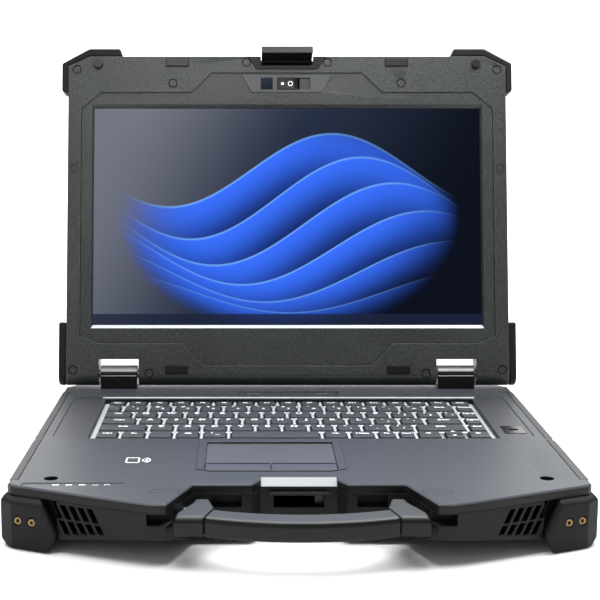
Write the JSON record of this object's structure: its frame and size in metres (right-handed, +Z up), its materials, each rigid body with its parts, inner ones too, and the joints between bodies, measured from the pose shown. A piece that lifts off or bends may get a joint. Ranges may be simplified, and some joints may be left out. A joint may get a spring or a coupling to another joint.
{
  "type": "laptop computer",
  "caption": "Rugged clamshell laptop with a leaning screen lid, keyboard, touchpad, front carry handle, rubber corner bumpers, lid latch and hinged side port doors.",
  "frame": {"origin": "centre of the bounding box on the surface it stands on", "axes": "+Z up, +X to the user's right, +Y away from the user, towards the lid"},
  "size_m": [0.363, 0.3803, 0.3065],
  "materials": {
    "base_shell": "moulded",
    "deck": "moulded",
    "key_plate": "plain",
    "key_caps": "moulded",
    "side_panel": "moulded",
    "dark_trim": "moulded",
    "touchpad": "moulded",
    "lens": "moulded",
    "bumper": "moulded",
    "brass": "plain",
    "steel": "plain",
    "hinge_metal": "plain",
    "door": "moulded",
    "handle": "moulded",
    "board": "moulded",
    "chip": "moulded",
    "copper": "plain",
    "drive": "plain",
    "lid_shell": "moulded",
    "surround": "moulded",
    "panel": "moulded",
    "screen": "moulded",
    "camera": "moulded",
    "shutter": "moulded"
  },
  "bodies": {
    "base": {"bottom_case": "base_shell", "top_case": "deck", "keyboard_plate": "key_plate", "keyboard_trim": "key_plate", "side_panels": "side_panel", "fingerprint_reader": "dark_trim", "touchpad_frame": "dark_trim", "touchpad_surface": "touchpad", "status_lens": "lens", "front_bumpers": "bumper", "rear_bumpers": "bumper", "bumper_screws": "brass", "bottom_screws": "steel", "pivot_pins": "steel", "hinge_knuckles": "hinge_metal", "latch_strike": "steel", "left_ports": "steel", "right_ports": "steel", "rear_ports": "steel", "main_board": "board", "processor": "chip", "heat_pipe": "copper", "heat_sink": "steel", "fan_housing": "chip", "plug_in_cards": "board", "battery_pack": "chip", "storage_drive": "drive", "speakers": "chip"},
    "lid": {"lid_back_cover": "lid_shell", "lid_frame": "lid_shell", "screen_surround": "surround", "screen_glass": "screen", "display_panel": "panel", "panel_backing": "panel", "camera_panel": "dark_trim", "camera_module": "camera", "lid_bumpers": "bumper", "screw_plugs": "bumper", "rest_pads": "bumper", "lid_pins": "steel"},
    "latch": {"latch": "dark_trim"},
    "camera_shutter": {"camera_shutter": "shutter"},
    "carry_handle": {"handle_arms": "handle", "handle_grip": "handle"},
    "fan": {"fan_rotor": "chip"},
    "right_rear_door": {"right_rear_door": "door"},
    "right_front_door": {"right_front_door": "door"},
    "left_rear_door": {"left_rear_door": "door"},
    "left_front_door": {"left_front_door": "door"},
    "function_keys": {"function_keys": "key_caps"},
    "number_keys": {"number_keys": "key_caps"},
    "upper_letter_keys": {"upper_letter_keys": "key_caps"},
    "home_row_keys": {"home_row_keys": "key_caps"},
    "lower_letter_keys": {"lower_letter_keys": "key_caps"},
    "bottom_row_keys": {"bottom_row_keys": "key_caps"},
    "space_bar": {"space_bar": "key_caps"},
    "touchpad_left_button": {"touchpad_left_button": "touchpad"},
    "touchpad_right_button": {"touchpad_right_button": "touchpad"},
    "power_button": {"power_button": "key_caps"},
    "menu_button": {"menu_button": "key_caps"}
  },
  "joints": [
    {"name": "lid_hinge", "type": "hinge", "parent": "base", "child": "lid", "pos_m": [0, 0.1228, 0.0485], "axis": [1, 0, 0], "range_deg": [-47, 102.94]},
    {"name": "latch_pivot", "type": "hinge", "parent": "lid", "child": "latch", "pos_m": [0, 0.18038, 0.29466], "axis": [-1, 0, 0], "range_deg": [-10, 60]},
    {"name": "shutter_slide", "type": "slide", "parent": "lid", "child": "camera_shutter", "axis": [1, 0, 0], "range_m": [0, 0.008]},
    {"name": "handle_swing", "type": "hinge", "parent": "base", "child": "carry_handle", "pos_m": [0, -0.1492, 0.025], "axis": [-1, 0, 0], "range_deg": [0, 50]},
    {"name": "right_rear_door_hinge", "type": "hinge", "parent": "base", "child": "right_rear_door", "pos_m": [0.17395, 0.0358, 0.01155], "axis": [0, 1, 0], "range_deg": [0, 90]},
    {"name": "right_front_door_hinge", "type": "hinge", "parent": "base", "child": "right_front_door", "pos_m": [0.17395, -0.0827, 0.01155], "axis": [0, 1, 0], "range_deg": [0, 90]},
    {"name": "left_rear_door_hinge", "type": "hinge", "parent": "base", "child": "left_rear_door", "pos_m": [-0.17395, 0.0358, 0.01155], "axis": [0, -1, 0], "range_deg": [0, 90]},
    {"name": "left_front_door_hinge", "type": "hinge", "parent": "base", "child": "left_front_door", "pos_m": [-0.17395, -0.0827, 0.01155], "axis": [0, -1, 0], "range_deg": [0, 90]},
    {"name": "fan_spin", "type": "hinge", "parent": "base", "child": "fan", "pos_m": [-0.12, 0.0628, 0.0196], "axis": [0, 0, 1], "continuous": true},
    {"name": "function_keys_press", "type": "slide", "parent": "base", "child": "function_keys", "axis": [0, 0, -1], "range_m": [0, 0.0018], "stiffness_N_per_m": 600, "springref_m": -0.004},
    {"name": "number_keys_press", "type": "slide", "parent": "base", "child": "number_keys", "axis": [0, 0, -1], "range_m": [0, 0.0018], "stiffness_N_per_m": 600, "springref_m": -0.004},
    {"name": "upper_letter_keys_press", "type": "slide", "parent": "base", "child": "upper_letter_keys", "axis": [0, 0, -1], "range_m": [0, 0.0018], "stiffness_N_per_m": 600, "springref_m": -0.004},
    {"name": "home_row_keys_press", "type": "slide", "parent": "base", "child": "home_row_keys", "axis": [0, 0, -1], "range_m": [0, 0.0018], "stiffness_N_per_m": 600, "springref_m": -0.004},
    {"name": "lower_letter_keys_press", "type": "slide", "parent": "base", "child": "lower_letter_keys", "axis": [0, 0, -1], "range_m": [0, 0.0018], "stiffness_N_per_m": 600, "springref_m": -0.004},
    {"name": "bottom_row_keys_press", "type": "slide", "parent": "base", "child": "bottom_row_keys", "axis": [0, 0, -1], "range_m": [0, 0.0018], "stiffness_N_per_m": 600, "springref_m": -0.004},
    {"name": "space_bar_press", "type": "slide", "parent": "base", "child": "space_bar", "axis": [0, 0, -1], "range_m": [0, 0.0018], "stiffness_N_per_m": 600, "springref_m": -0.004},
    {"name": "touchpad_left_button_press", "type": "slide", "parent": "base", "child": "touchpad_left_button", "axis": [0, 0, -1], "range_m": [0, 0.0008], "stiffness_N_per_m": 800, "springref_m": -0.001},
    {"name": "touchpad_right_button_press", "type": "slide", "parent": "base", "child": "touchpad_right_button", "axis": [0, 0, -1], "range_m": [0, 0.0008], "stiffness_N_per_m": 800, "springref_m": -0.001},
    {"name": "power_button_press", "type": "slide", "parent": "base", "child": "power_button", "axis": [0, 0, -1], "range_m": [0, 0.0006], "stiffness_N_per_m": 800, "springref_m": -0.001},
    {"name": "menu_button_press", "type": "slide", "parent": "base", "child": "menu_button", "axis": [0, 0, -1], "range_m": [0, 0.0006], "stiffness_N_per_m": 800, "springref_m": -0.001}
  ]
}
